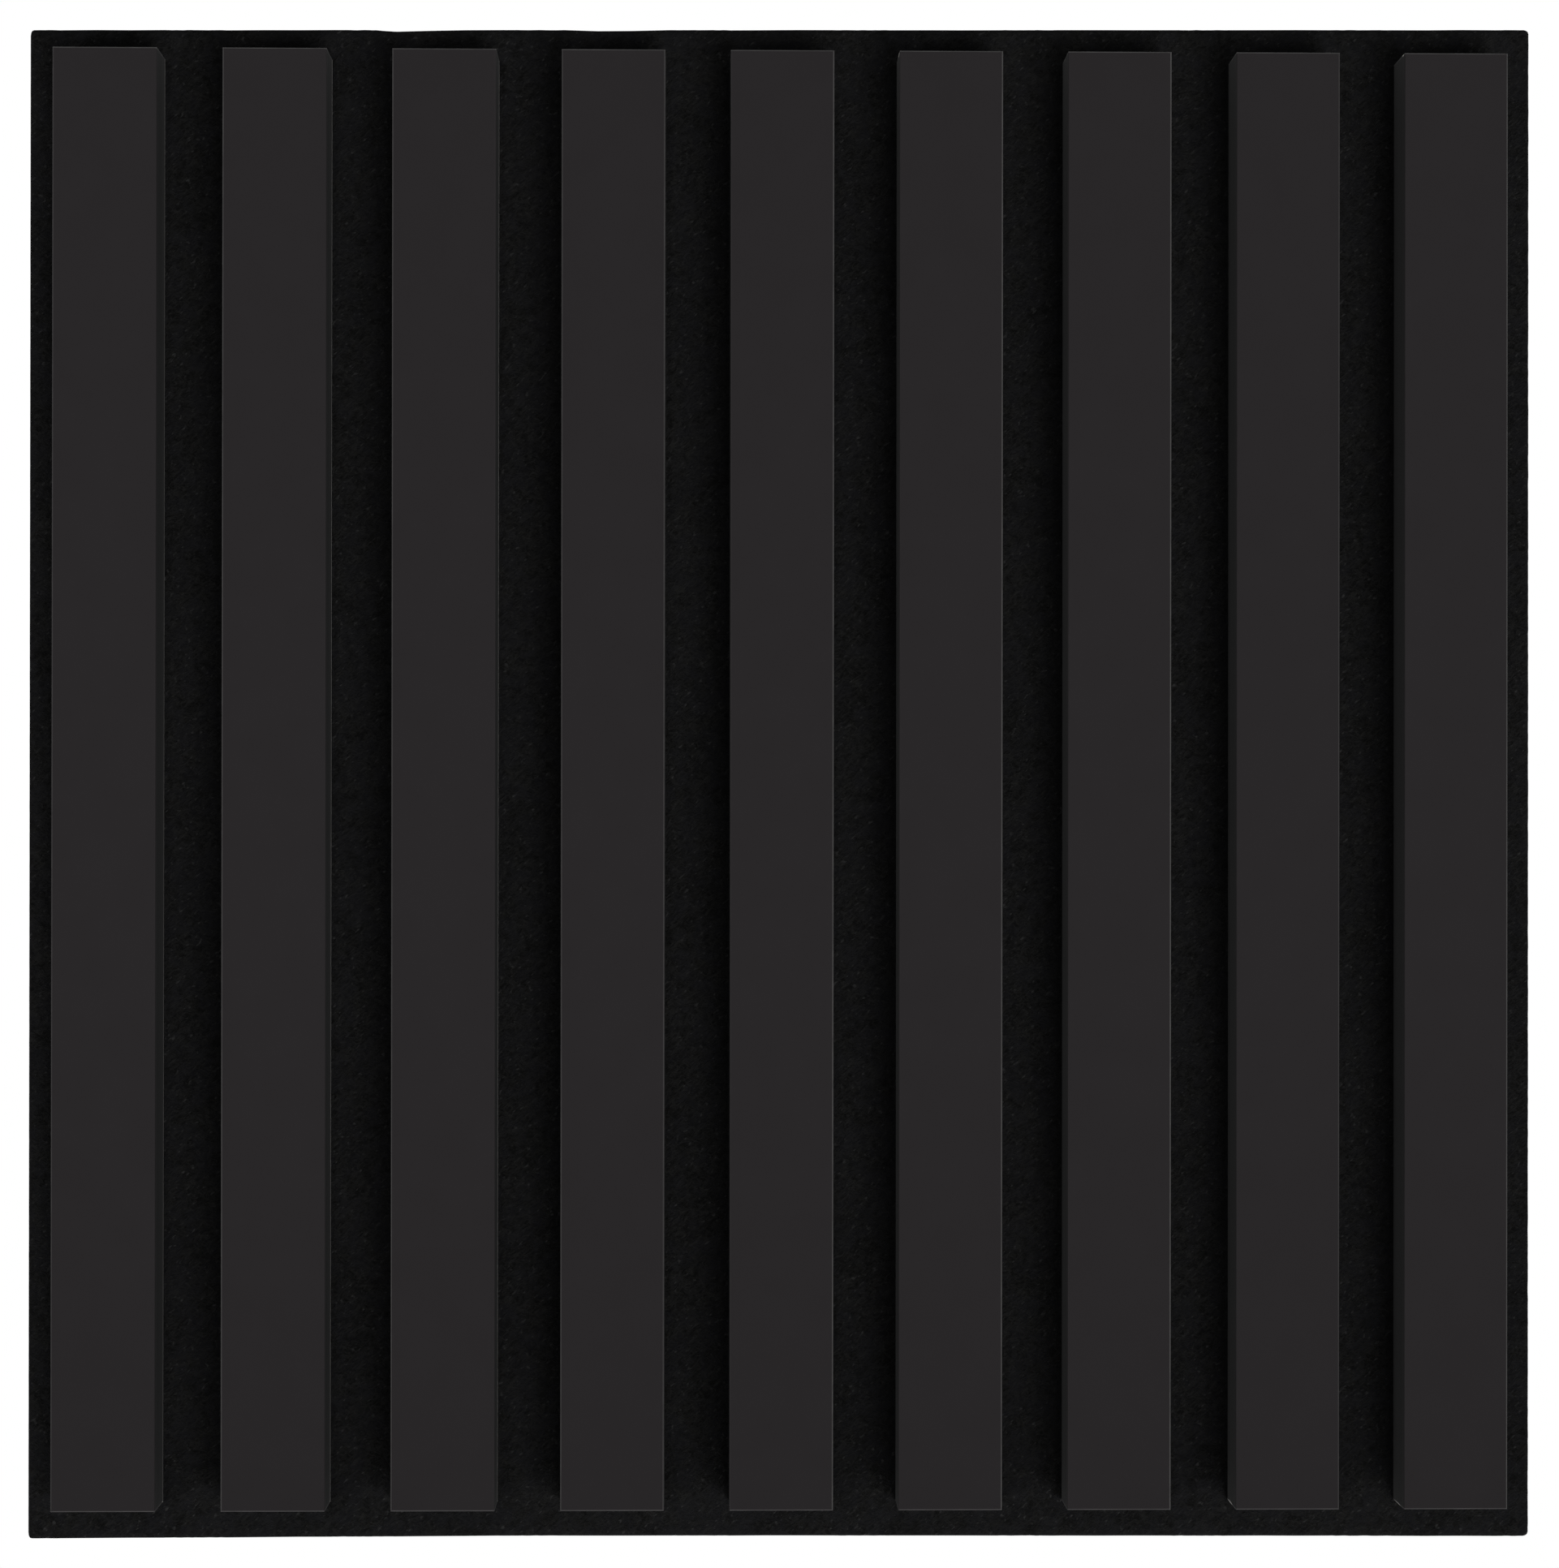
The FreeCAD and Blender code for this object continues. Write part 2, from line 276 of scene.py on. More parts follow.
def make_fibreboard():
    """Black dyed fibreboard: sawn walls, paler towards the felt by painted light against the shade there,
    worn and painted-highlit at the ends, with painted highlights as spots and foot lines.
    """
    material, tree, shader, place = new_material("black_fibreboard", roughness=0.8, specular=0.15)
    mottled = spread(tree, add_noise(tree, place, 900.0, detail=4.0, roughness=0.65), 0.35, 0.65)
    colour = mix_colours(tree, mottled, CORE_BLACK_DEEP, CORE_BLACK)
    across, depth, up = add_node(tree, "ShaderNodeSeparateXYZ", {0: place}).outputs
    normal = tree.nodes.new("ShaderNodeNewGeometry").outputs["Normal"]
    facing = add_node(tree, "ShaderNodeSeparateXYZ", {0: normal})
    on_long_wall = calculate(tree, "GREATER_THAN", calculate(tree, "ABSOLUTE", facing.outputs[0]), 0.5)
    above_foot = calculate(tree, "SUBTRACT", -FELT_FRONT, depth)
    # Painted light: the long walls pale towards the felt, against the shade at their foot.
    painted_fill = calculate(tree, "MULTIPLY", spread(tree, above_foot, PAINTED_FILL_HEIGHT, PAINTED_FILL_FULL_HEIGHT), on_long_wall)
    colour = mix_colours(tree, painted_fill, colour, CORE_PAINTED_FILL)
    # Paler along the ends of the long walls: worn, and painted highlight on the end edges.
    from_end = calculate(tree, "SUBTRACT", SLAT_TOP, calculate(tree, "ABSOLUTE", up))
    worn_and_highlit = calculate(tree, "MULTIPLY", spread(tree, from_end, END_WEAR_AND_HIGHLIGHT, 0.5 * END_WEAR_AND_HIGHLIGHT), on_long_wall)
    worn_and_highlit = calculate(tree, "MULTIPLY", worn_and_highlit, spread(tree, add_noise(tree, place, 350.0), 0.3, 0.6, 0.5, 1.0))
    colour = mix_colours(tree, worn_and_highlit, colour, CORE_WORN_AND_HIGHLIT)
    # Painted highlights: a pale line at the foot of some right walls, and pale spots along the ends of the
    # walls.
    painted_highlight = None
    for slat, paleness in FOOT_LINES.items():
        from_wall = calculate(tree, "SUBTRACT", across, CORE_BOXES[slat - 1][1].x)
        on_wall = calculate(tree, "LESS_THAN", calculate(tree, "ABSOLUTE", from_wall), WALL_REACH)
        line = calculate(tree, "MULTIPLY", spread(tree, above_foot, FOOT_LINE, 0.7 * FOOT_LINE), paleness)
        line = calculate(tree, "MULTIPLY", line, on_wall)
        painted_highlight = calculate(tree, "MAXIMUM", painted_highlight, line) if painted_highlight else line
    for slat, side, end, height, length, thickness in PAINTED_HIGHLIGHT_SPOTS:
        low, high = CORE_BOXES[slat - 1]
        middle = (high.x if side > 0 else low.x, -FELT_FRONT - height, end * SLAT_TOP)
        away = add_node(tree, "ShaderNodeVectorMath", {0: place, 1: middle}, operation="SUBTRACT")
        squashed = (1.0, 2 * thickness / length, 1.0)
        shaped = add_node(tree, "ShaderNodeVectorMath", {0: away.outputs[0], 1: squashed},
                          operation="MULTIPLY")
        distance = add_node(tree, "ShaderNodeVectorMath", {0: shaped.outputs[0]}, operation="LENGTH")
        highlit_spot = spread(tree, distance.outputs["Value"], thickness, 0.7 * thickness)
        painted_highlight = calculate(tree, "MAXIMUM", painted_highlight, highlit_spot)
    colour = mix_colours(tree, painted_highlight, colour, CORE_HIGHLIGHT)
    tree.links.new(colour, shader.inputs["Base Color"])
    scored = add_noise(tree, place, 700.0, detail=3.0, roughness=0.6, stretch=(1, 1, 14))
    fuzzy = add_noise(tree, place, 3200.0)
    add_bump(tree, shader, calculate(tree, "ADD", scored, fuzzy), 0.03 * MM)
    return material


MATTED_SHARE = 0.3          # of broad matting in the felt's relief and shade, against its fine fibres
FIBRES_SHARE = 0.7
FELT_RELIEF = 0.65 * MM


def make_felt_material():
    """Pressed felt: matted dark fibres that lean up to the right, with paler flecks and faint tints."""
    material, tree, shader, place = new_material("black_felt", roughness=1.0, specular=0.02)
    lean = (0.0, math.radians(-40), 0.0)
    cross_lean = (0.0, math.radians(25), 0.0)
    matted = add_noise(tree, place, 420.0, detail=5.0, roughness=0.7)
    streaked = add_noise(tree, place, 1500.0, detail=3.0, roughness=0.6, stretch=(3, 1, 1), turn=lean,
                         curl=0.8)
    crossed = add_noise(tree, place, 1300.0, detail=3.0, roughness=0.6, stretch=(2, 1, 1), turn=cross_lean,
                        curl=1.2)
    fibres = calculate(tree, "MAXIMUM", streaked, crossed)
    body = calculate(tree, "ADD", calculate(tree, "MULTIPLY", matted, MATTED_SHARE),
                     calculate(tree, "MULTIPLY", fibres, FIBRES_SHARE))
    clouded = spread(tree, add_noise(tree, place, 70.0), 0.35, 0.65, -0.02, 0.02)
    depth = calculate(tree, "ADD", body, clouded)
    # Darker where the relief is low: random fibre tone and painted shade in the hollows.
    colour = mix_colours(tree, spread(tree, depth, 0.44, 0.66), FELT_DEEP, FELT_BLACK)
    tinted = spread(tree, add_noise(tree, place, 260.0, roughness=0.6), 0.40, 0.62)
    colour = mix_colours(tree, calculate(tree, "MULTIPLY", tinted, 0.5), colour, FELT_BLUE)
    flecks = add_noise(tree, place, 1500.0, detail=1.0, roughness=0.4, stretch=(2, 1, 1), turn=lean)
    colour = mix_colours(tree, spread(tree, flecks, 0.66, 0.80), colour, FELT_FLECK)
    tree.links.new(colour, shader.inputs["Base Color"])
    add_bump(tree, shader, body, FELT_RELIEF)
    return material


def make_fibre_material():
    material, tree, shader, place = new_material("stray_fibre", roughness=1.0, specular=0.0)
    shade = spread(tree, add_noise(tree, place, 400.0), 0.3, 0.7)
    tree.links.new(mix_colours(tree, shade, FELT_BLACK, FELT_FLECK), shader.inputs["Base Color"])
    return material


def make_staple_wire():
    """Galvanised flat wire, dulled in patches."""
    material, tree, shader, place = new_material("galvanised_wire", roughness=0.38, specular=0.5)
    shader.inputs["Metallic"].default_value = 1.0
    patches = spread(tree, add_noise(tree, place, 500.0, detail=3.0), 0.4, 0.65)
    tree.links.new(mix_colours(tree, patches, STEEL, STEEL_DULL), shader.inputs["Base Color"])
    drawn = add_noise(tree, place, 2500.0, stretch=(12, 1, 1))
    add_bump(tree, shader, drawn, 0.01 * MM)
    return material


# Slat facings

ARRIS_RING = 3          # the grid's third ring from its border is where the flat face starts
FACING_COLUMNS = 9
FACING_ROWS = 121


def facing_tree(material):
    """A laminate sheet made from a grid: its outer rings become the cut edge and the eased arris."""
    tree, size, output = new_geometry_tree("slat_facing", {
        "Width": SLAT_WIDTH, "Length": SLAT_LENGTH, "Depth": FACING_DEPTH, "Arris": ARRIS,
        "Back": FACING_BACK, "Middle": 0.0, "Nick": 0.25,
        "Left wear": 1.0, "Right wear": 1.0, "Top wear": 1.0, "Bottom wear": 1.0,
    })
    grid = add_node(tree, "GeometryNodeMeshGrid", {
        "Size X": FACING_COLUMNS - 1.0, "Size Y": FACING_ROWS - 1.0,
        "Vertices X": FACING_COLUMNS, "Vertices Y": FACING_ROWS,
    })
    place = tree.nodes.new("GeometryNodeInputPosition").outputs[0]
    split = add_node(tree, "ShaderNodeSeparateXYZ", {0: place})
    arris = size.outputs["Arris"]

    def ring_of(coordinate, half_count):
        return calculate(tree, "SUBTRACT", half_count, calculate(tree, "ABSOLUTE", coordinate))

    def quarter_turn(ring):
        """How far round the arris a ring lies, from 0 on the cut edge to a quarter turn on the face."""
        share = calculate(tree, "DIVIDE", calculate(tree, "SUBTRACT", ring, 1.0), ARRIS_RING - 1.0)
        held = add_node(tree, "ShaderNodeClamp", {0: share}).outputs[0]
        return calculate(tree, "MULTIPLY", held, math.pi / 2)

    def stretched(coordinate, half_count, span):
        """The flat face evenly divided, and past it the arris curling to the cut edge."""
        inner = half_count - ARRIS_RING
        held = add_node(tree, "ShaderNodeClamp", {0: coordinate, 1: -inner, 2: inner}).outputs[0]
        half_face = calculate(tree, "SUBTRACT", calculate(tree, "DIVIDE", span, 2.0), arris)
        flat = calculate(tree, "MULTIPLY", calculate(tree, "DIVIDE", held, inner), half_face)
        curl = calculate(tree, "COSINE", quarter_turn(ring_of(coordinate, half_count)))
        edge = calculate(tree, "MULTIPLY", calculate(tree, "SIGN", coordinate),
                         calculate(tree, "MULTIPLY", arris, curl))
        return calculate(tree, "ADD", flat, edge)

    half_columns = (FACING_COLUMNS - 1) / 2
    half_rows = (FACING_ROWS - 1) / 2
    ring = calculate(tree, "MINIMUM", ring_of(split.outputs[0], half_columns),
                     ring_of(split.outputs[1], half_rows))
    across = stretched(split.outputs[0], half_columns, size.outputs["Width"])
    up = stretched(split.outputs[1], half_rows, size.outputs["Length"])
    rise = calculate(tree, "SUBTRACT", 1.0, calculate(tree, "SINE", quarter_turn(ring)))
    thickness = calculate(tree, "SUBTRACT", size.outputs["Depth"], calculate(tree, "MULTIPLY", arris, rise))
    off_back = calculate(tree, "MINIMUM", ring, 1.0)
    depth = calculate(tree, "MULTIPLY", off_back, thickness)

    seeded = add_node(tree, "ShaderNodeCombineXYZ", {0: size.outputs["Middle"], 1: split.outputs[0],
                                                     2: split.outputs[1]})
    dents = add_node(tree, "ShaderNodeTexNoise", {"Vector": seeded.outputs[0], "Scale": 1.7, "Detail": 2.0})
    dent = add_node(tree, "ShaderNodeMapRange", {"Value": dents.outputs[0], "From Min": 0.6, "From Max": 0.8})
    on_arris = add_node(tree, "FunctionNodeCompare", {0: ring, 1: 2.0, "Epsilon": 0.1}, data_type="FLOAT",
                        operation="EQUAL")
    nick = calculate(tree, "MULTIPLY", dent.outputs[0], size.outputs["Nick"])
    nick = calculate(tree, "MULTIPLY", nick, arris)
    nick = calculate(tree, "MULTIPLY", nick, on_arris.outputs[0])
    front = calculate(tree, "ADD", size.outputs["Back"], calculate(tree, "SUBTRACT", depth, nick))
    shaped = add_node(tree, "ShaderNodeCombineXYZ", {
        0: calculate(tree, "ADD", size.outputs["Middle"], across),
        1: calculate(tree, "MULTIPLY", front, -1.0),
        2: up,
    })

    def on_side(coordinate, half_count, sign, wear_and_highlight):
        """How pale one side's arris is, worn and with painted highlight, on the faces of its arris and 0
        elsewhere.
        """
        from_side = calculate(tree, "SUBTRACT", half_count, calculate(tree, "MULTIPLY", coordinate, sign))
        past_cut_edge = calculate(tree, "GREATER_THAN", from_side, 1.0)
        before_face = calculate(tree, "LESS_THAN", from_side, float(ARRIS_RING))
        return calculate(tree, "MULTIPLY", calculate(tree, "MULTIPLY", past_cut_edge, before_face), wear_and_highlight)

    sides = (
        on_side(split.outputs[0], half_columns, -1.0, size.outputs["Left wear"]),
        on_side(split.outputs[0], half_columns, 1.0, size.outputs["Right wear"]),
        on_side(split.outputs[1], half_rows, 1.0, size.outputs["Top wear"]),
        on_side(split.outputs[1], half_rows, -1.0, size.outputs["Bottom wear"]),
    )
    wear_and_highlight = sides[0]
    for side in sides[1:]:
        wear_and_highlight = calculate(tree, "MAXIMUM", wear_and_highlight, side)
    # Stores how pale the arris is: worn, and painted highlight.
    marked = add_node(tree, "GeometryNodeStoreNamedAttribute", {
        0: grid.outputs["Mesh"], "Name": "arris", "Value": wear_and_highlight,
    }, data_type="FLOAT", domain="FACE")
    placed = add_node(tree, "GeometryNodeSetPosition", {0: marked.outputs[0], "Position": shaped.outputs[0]})
    merged = add_node(tree, "GeometryNodeMergeByDistance", {0: placed.outputs[0], "Distance": 0.001 * MM})
    finish_tree(tree, merged.outputs[0], material, output)
    return tree


def close_rim(mesh):
    """Close a sheet's open border with one face, wound to match."""
    used = {}
    for face in mesh.polygons:
        for start, end in face.edge_keys:
            used[(start, end)] = used.get((start, end), 0) + 1
    following = {}
    for face in mesh.polygons:
        corners = list(face.vertices)
        for start, end in zip(corners, corners[1:] + corners[:1]):
            if used[tuple(sorted((start, end)))] == 1:
                following[end] = start
    first = min(following)
    loop = [first]
    while following[loop[-1]] != first:
        loop.append(following[loop[-1]])
    vertices = [vertex.co.copy() for vertex in mesh.vertices]
    faces = [list(face.vertices) for face in mesh.polygons]
    marks = [mark.value for mark in mesh.attributes["arris"].data]
    closed = bpy.data.meshes.new(mesh.name)
    closed.from_pydata(vertices, [], faces + [loop])
    attribute = closed.attributes.new("arris", "FLOAT", "FACE")
    attribute.data.foreach_set("value", marks + [0.0])
    for material in mesh.materials:
        closed.materials.append(material)
    return closed


# How pale each slat's left and right arris is, worn and with painted highlight. The ends of all slats are
# alike.
ARRIS_WEAR_AND_HIGHLIGHT = (
    (0.45, 0.03), (0.75, 0.03), (0.60, 0.05), (0.55, 0.50), (0.15, 0.85),
    (0.05, 0.90), (0.05, 1.00), (0.05, 0.40), (0.05, 0.85),
)
TOP_WEAR_AND_HIGHLIGHT = 1.0
BOTTOM_WEAR_AND_HIGHLIGHT = 0.58


def make_facings(material):
    tree = facing_tree(material)
    for slat, (left_wear_and_highlight, right_wear_and_highlight) in zip(SLATS, ARRIS_WEAR_AND_HIGHLIGHT):
        name = "slat_facing_%d" % slat
        low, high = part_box(name)
        values = {"Middle": (low.x + high.x) / 2, "Left wear": left_wear_and_highlight, "Right wear": right_wear_and_highlight,
                  "Top wear": TOP_WEAR_AND_HIGHLIGHT, "Bottom wear": BOTTOM_WEAR_AND_HIGHLIGHT}
        mesh = run_tree(tree, bpy.data.meshes.new("facing_start"), values, name + "_laminate")
        link_piece(name + "_laminate", close_rim(mesh), material, "slat_facing", name)


# Felt

OPEN_STEP = 0.85 * MM
COVERED_STEPS = 3
CORNER_STEPS = (0.15 * MM, 0.45 * MM)
ROW_STEP = 0.95 * MM
BACK_STEP = 6.0 * MM
EDGE_EASING = 0.35 * MM
EDGE_LEVELS = ((0.0, 1.0), (0.03, 0.35), (0.09, 0.0), (0.36, 0.0), (0.64, 0.0), (0.91, 0.0), (0.97, 0.35),
               (1.0, 1.0))
EDGE_FUZZ = 0.10 * MM
EDGE_FUZZ_GRAIN = 1.6 * MM
# How far the cut edges swell past the felt's outline
SWELL_LEFT = 0.05 * MM
SWELL_RIGHT = 0.50 * MM
SWELL_TOP = 0.25 * MM
SWELL_BOTTOM = 0.37 * MM
BOTTOM_SAG = 0.20 * MM      # of the bottom edge at its right end
SAG_START = 0.3             # share of the way across from which it sags
TUFT_RISE = 0.13 * MM
BROAD_TUFT = (5 * MM, 3 * MM)       # length and width
FINE_TUFT = (2.2 * MM, 1.1 * MM)
GAP_BULGE = 0.15 * MM
WALL_DIP = 0.25 * MM
WALL_DIP_REACH = 0.7 * MM
OPEN_RIM = 1.2 * MM         # the tufts rise to their full height this far from a slat
STAPLE_DIMPLE = 0.35 * MM
BACK_UNEVEN = 0.06 * MM
BACK_GRAIN = 9 * MM
DIMPLE_REACH = 4.0 * MM
DIMPLE_RINGS = (1.2 * MM, 2.6 * MM, DIMPLE_REACH)
DIMPLE_STEP = 2.4 * MM


def corner_cut(distance):
    """How far a rounded corner has cut into an edge at a distance from the felt's side."""
    if distance >= CORNER_RADIUS:
        return 0.0
    return CORNER_RADIUS - math.sqrt(CORNER_RADIUS ** 2 - (CORNER_RADIUS - distance) ** 2)


def felt_edge_heights(across):
    """The felt's bottom and top edges at a place across it."""
    from_left = across - FELT_LEFT
    towards_left = 1 - from_left / FELT_WIDTH
    bottom = FELT_BOTTOM + BOTTOM_SLANT * towards_left
    bottom -= TRIM_STROKE_DROP * max(0.0, 1 - from_left / TRIM_STROKE_LENGTH)
    bottom -= BOTTOM_SAG * (max(0.0, from_left / FELT_WIDTH - SAG_START) / (1 - SAG_START)) ** 2
    top = FELT_TOP - TOP_SLANT * towards_left
    for dip in DIPS:
        share = (from_left - dip["place"]) / (dip["length"] / 2)
        top -= dip["depth"] * max(0.0, 1 - share * share)
    cut = corner_cut(min(from_left, FELT_RIGHT - across))
    return bottom + cut, top - cut


def felt_columns():
    """Places across the felt: close together where it shows, three to a slat where it is covered."""
    places = [FELT_LEFT, FELT_LEFT + CORNER_STEPS[0], FELT_LEFT + CORNER_STEPS[1]]
    start = FELT_LEFT + CORNER_RADIUS
    for low, high in CORE_BOXES:
        steps = max(1, round((low.x - start) / OPEN_STEP))
        places += [start + (low.x - start) * step / steps for step in range(steps)]
        places += [low.x + (high.x - low.x) * step / COVERED_STEPS for step in range(COVERED_STEPS)]
        start = high.x
    end = FELT_RIGHT - CORNER_RADIUS
    steps = round((end - start) / OPEN_STEP)
    places += [start + (end - start) * step / steps for step in range(steps + 1)]
    return places + [FELT_RIGHT - CORNER_STEPS[1], FELT_RIGHT - CORNER_STEPS[0], FELT_RIGHT]


def uncovered(across, up):
    """1 where the felt shows between and round the slats, falling to 0 at a slat's wall."""
    clear = 1.0
    for low, high in CORE_BOXES:
        outside = max(low.x - across, across - high.x, up - SLAT_TOP, -SLAT_TOP - up)
        clear = min(clear, max(0.0, outside / OPEN_RIM))
    return clear


def beside_wall(across, up):
    """1 at the foot of a slat's wall, falling to 0 a little way off and under the slat."""
    if abs(up) > SLAT_TOP + WALL_DIP_REACH:
        return 0.0
    nearest = min(min(abs(across - low.x), abs(across - high.x)) for low, high in CORE_BOXES)
    return max(0.0, 1 - nearest / WALL_DIP_REACH)


def tuft_height(across, up):
    """The matted surface of the felt: broad tufts with finer ones on them, leaning up to the right."""
    along = (across + up) * 0.7
    over = (up - across) * 0.7
    broad = noise.noise(Vector((along / BROAD_TUFT[0], over / BROAD_TUFT[1], 1.7)))
    fine = noise.noise(Vector((along / FINE_TUFT[0], over / FINE_TUFT[1], 8.3)))
    return 0.5 * broad + 0.6 * fine


def staple_places():
    row_step = (STAPLE_HIGH.z - STAPLE_LOW.z - WIRE_WIDTH) / (STAPLE_ROWS - 1)
    rows = [STAPLE_LOW.z + WIRE_WIDTH / 2 + row * row_step for row in range(STAPLE_ROWS)]
    return [((low.x + high.x) / 2, up) for low, high in CORE_BOXES for up in rows]


def slot_corners(across, up, grow=0.0):
    half_length = STAPLE_CROWN / 2 + STAPLE_CLEARANCE + grow
    half_width = WIRE_WIDTH / 2 + STAPLE_CLEARANCE + grow
    return [(across - half_length, up - half_width), (across + half_length, up - half_width),
            (across + half_length, up + half_width), (across - half_length, up + half_width)]


def felt_mesh():
    """The whole felt as one closed skin: tufted front, cut edge, and a back dimpled round the staples."""
    columns = felt_columns()
    rows = round((FELT_TOP - FELT_BOTTOM) / ROW_STEP)
    vertices = []
    faces = []
    last_column = len(columns) - 1
    for column, across in enumerate(columns):
        bottom, top = felt_edge_heights(across)
        for row in range(rows + 1):
            up = bottom + (top - bottom) * row / rows
            rise = 0.0
            if 0 < column < last_column and 0 < row < rows:
                open_here = uncovered(across, up)
                rise = open_here * (GAP_BULGE + TUFT_RISE * tuft_height(across, up))
                rise -= WALL_DIP * beside_wall(across, up)
            vertices.append(Vector((across, -FELT_FRONT - rise, up)))
    count = rows + 1
    for column in range(last_column):
        for row in range(rows):
            corner = column * count + row
            faces.append((corner, corner + count, corner + count + 1, corner + 1))

    bottom_line = [column * count for column in range(len(columns))]
    right_line = [last_column * count + row for row in range(1, count)]
    top_line = [column * count + rows for column in range(last_column - 1, -1, -1)]
    left_line = [row for row in range(rows - 1, 0, -1)]
    border = bottom_line + right_line + top_line + left_line
    rings = [border]
    outward = []
    for index, vertex in enumerate(border):
        before = vertices[border[index - 1]]
        after = vertices[border[(index + 1) % len(border)]]
        outward.append(Vector((after.z - before.z, 0, before.x - after.x)).normalized())
    outline = [vertices[vertex].copy() for vertex in border]
    for level, (share, easing) in enumerate(EDGE_LEVELS):
        ring = []
        for index, (place, away) in enumerate(zip(outline, outward)):
            fuzz = noise.noise(Vector((place.x, share * FELT_FRONT, place.z)) / EDGE_FUZZ_GRAIN) - 0.6
            moved = place - away * (EDGE_EASING * easing) + away * (EDGE_FUZZ * min(0.0, fuzz) * (1 - easing))
            moved.x += away.x * (SWELL_RIGHT if away.x > 0 else SWELL_LEFT)
            moved.z += away.z * (SWELL_TOP if away.z > 0 else SWELL_BOTTOM)
            moved.y = -FELT_FRONT * (1 - share)
            if level == 0:
                vertices[border[index]] = moved
            else:
                vertices.append(moved)
                ring.append(len(vertices) - 1)
        if level:
            previous = rings[-1]
            for index in range(len(ring)):
                following = (index + 1) % len(ring)
                faces.append((previous[index], ring[index], ring[following], previous[following]))
            rings.append(ring)
    add_felt_back(vertices, faces, rings[-1])
    mesh = bpy.data.meshes.new("felt")
    mesh.from_pydata(vertices, [], faces)
    mesh.validate()
    mesh.polygons.foreach_set("use_smooth", [True] * len(mesh.polygons))
    return mesh


def add_felt_back(vertices, faces, rim):
    """The back, triangulated between the rim and the staples' slots, with the slots sunk in it."""
    staples = staple_places()
    points = [Vector((vertices[index].x, vertices[index].z)) for index in rim]
    known = len(points)
    edges = [(index, (index + 1) % known) for index in range(known)]
    slots = []
    for across, up in staples:
        start = len(points)
        points += [Vector(corner) for corner in slot_corners(across, up)]
        edges += [(start + side, start + (side + 1) % 4) for side in range(4)]
        slots.append(range(start, start + 4))
    for across, up in staples:
        for grow in DIMPLE_RINGS:
            corners = slot_corners(across, up, grow)
            for (x1, z1), (x2, z2) in zip(corners, corners[1:] + corners[:1]):
                steps = max(1, round(math.hypot(x2 - x1, z2 - z1) / DIMPLE_STEP))
                for step in range(steps):
                    points.append(Vector((x1 + (x2 - x1) * step / steps, z1 + (z2 - z1) * step / steps)))
    inset = BACK_STEP / 2
    across_steps = round((FELT_WIDTH - 2 * inset) / BACK_STEP)
    up_steps = round((FELT_TOP - FELT_BOTTOM - 2 * inset) / BACK_STEP)
    for step in range(across_steps + 1):
        x = FELT_LEFT + inset + (FELT_WIDTH - 2 * inset) * step / across_steps
        bottom, top = felt_edge_heights(x)
        for rung in range(up_steps + 1):
            z = bottom + inset + (top - bottom - 2 * inset) * rung / up_steps
            if all(abs(x - a) > STAPLE_CROWN / 2 + DIMPLE_REACH + MM or abs(z - b) > DIMPLE_REACH + 2 * MM
                   for a, b in staples):
                points.append(Vector((x, z)))
    flat, _, triangles, sources, _, _ = delaunay_2d_cdt(points, edges, [], 1, 1e-7)
    number_of = {}
    for index, (point, source) in enumerate(zip(flat, sources)):
        if source and source[0] < known:
            number_of[index] = rim[source[0]]
            continue
        dimple = 0.0
        for across, up in staples:
            reach = max(abs(point.x - across) - STAPLE_CROWN / 2, abs(point.y - up) - WIRE_WIDTH / 2, 0.0)
            dimple = max(dimple, 1 - reach / DIMPLE_REACH)
        uneven = BACK_UNEVEN * (noise.noise(Vector((point.x, point.y, 3.0)) / BACK_GRAIN) - 1)
        vertices.append(Vector((point.x, uneven - STAPLE_DIMPLE * dimple * dimple, point.y)))
        number_of[index] = len(vertices) - 1
    place_of = {source[0]: index for index, source in enumerate(sources) if source}
    for triangle in triangles:
        middle = sum((flat[corner] for corner in triangle), Vector((0, 0))) / 3
        inside = any(abs(middle.x - a) < STAPLE_CROWN / 2 + STAPLE_CLEARANCE
                     and abs(middle.y - b) < WIRE_WIDTH / 2 + STAPLE_CLEARANCE for a, b in staples)
        if not inside:
            faces.append(tuple(number_of[corner] for corner in reversed(triangle)))
    for slot in slots:
        mouth = [number_of[place_of[corner]] for corner in slot]
        floor = []
        for corner in mouth:
            place = vertices[corner]
            vertices.append(Vector((place.x, -STAPLE_SLOT_DEPTH, place.z)))
            floor.append(len(vertices) - 1)
        for side in range(4):
            following = (side + 1) % 4
            faces.append((mouth[side], floor[side], floor[following], mouth[following]))
        faces.append(tuple(reversed(floor)))


# Stray fibres on the felt

FIBRE_STEPS = 4
FIBRE_INSET = 0.5 * MM
FIBRE_LEAST = 0.3 * MM      # length allowed at the very border of a patch
FIBRE_LEAN = (-2.4, 0.9)    # radians
FIBRE_TILT = 0.2
FIBRE_LENGTHS = (0.4, 1.6)  # as shares of the usual length
EDGE_SAMPLES = 8


